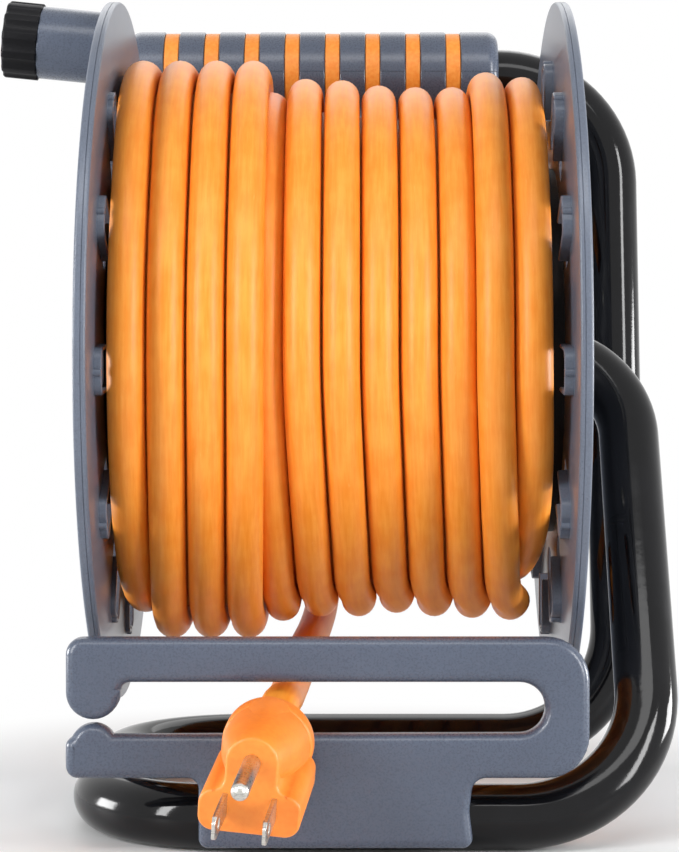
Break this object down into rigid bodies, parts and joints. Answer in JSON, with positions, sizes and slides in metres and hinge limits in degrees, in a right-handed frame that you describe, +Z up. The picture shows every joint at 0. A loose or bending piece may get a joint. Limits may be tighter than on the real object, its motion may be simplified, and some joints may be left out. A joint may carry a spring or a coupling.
{
  "type": "extension cord reel",
  "caption": "Hand-cranked extension cord reel on a bent steel tube stand that is also its carrying handle, with a cord guide, outlets in the drum's end and a grounded plug.",
  "frame": {"origin": "on the ground, under the middle of the box of the reel without its free cord and plug", "axes": "+Z up; +X along the axle towards the stand's risers; +Y to the back, where the handle is"},
  "size_m": [0.2057, 0.267, 0.2475],
  "materials": {
    "tube": "gloss black powder coat",
    "housing_plastic": "fine textured slate blue-grey",
    "flange_plastic": "moulded satin slate blue-grey",
    "band": "soft orange",
    "cord": "satin orange cord jacket",
    "plug": "moulded yellow-orange",
    "black_plastic": "satin black",
    "panel_plastic": "moulded black",
    "nylon": "natural nylon",
    "steel": "bright zinc plate",
    "blade": "bright nickel plate",
    "contact": "plain",
    "button": "moulded red"
  },
  "bodies": {
    "frame": {"frame_tube": "tube", "handle_plug": "black_plastic", "axle_plug": "steel", "axle_washer": "steel", "axle_bolt": "steel", "thrust_collar": "steel", "grip_upper": "housing_plastic", "grip_lower": "housing_plastic", "grip_bands": "band", "grip_screws": "steel", "cord_guide": "housing_plastic", "guide_screws": "steel", "cord_tail": "cord", "plug_body": "plug", "plug_blades": "blade", "plug_ground_pin": "blade"},
    "drum": {"drum_core": "flange_plastic", "left_flange": "flange_plastic", "right_flange": "flange_plastic", "flange_screws": "steel", "left_bush": "nylon", "right_bush": "nylon", "cord_core": "cord", "cord_winding": "cord", "outlet_panel": "panel_plastic", "outlet_housing": "flange_plastic", "panel_screws": "steel", "line_bus": "contact", "neutral_bus": "contact", "ground_bus": "contact", "breaker_body": "black_plastic", "breaker_spring": "steel", "lead_grommet": "black_plastic", "inner_lead": "cord", "crank_pin": "steel"},
    "crank_knob": {"crank_barrel": "housing_plastic", "crank_cap": "black_plastic"},
    "reset_button": {"reset_button": "button"}
  },
  "joints": [
    {"name": "drum_spin", "type": "hinge", "parent": "frame", "child": "drum", "pos_m": [0.0016, 0, 0.138], "axis": [1, 0, 0], "continuous": true},
    {"name": "knob_spin", "type": "hinge", "parent": "drum", "child": "crank_knob", "pos_m": [-0.0674, 0.00393, 0.23167], "axis": [-0.9951, 0, 0.0993], "continuous": true},
    {"name": "reset_slide", "type": "slide", "parent": "drum", "child": "reset_button", "axis": [1, 0, 0], "range_m": [0, 0.0025], "stiffness_N_per_m": 400, "springref_m": -0.001, "deforming": ["breaker_spring"]}
  ]
}
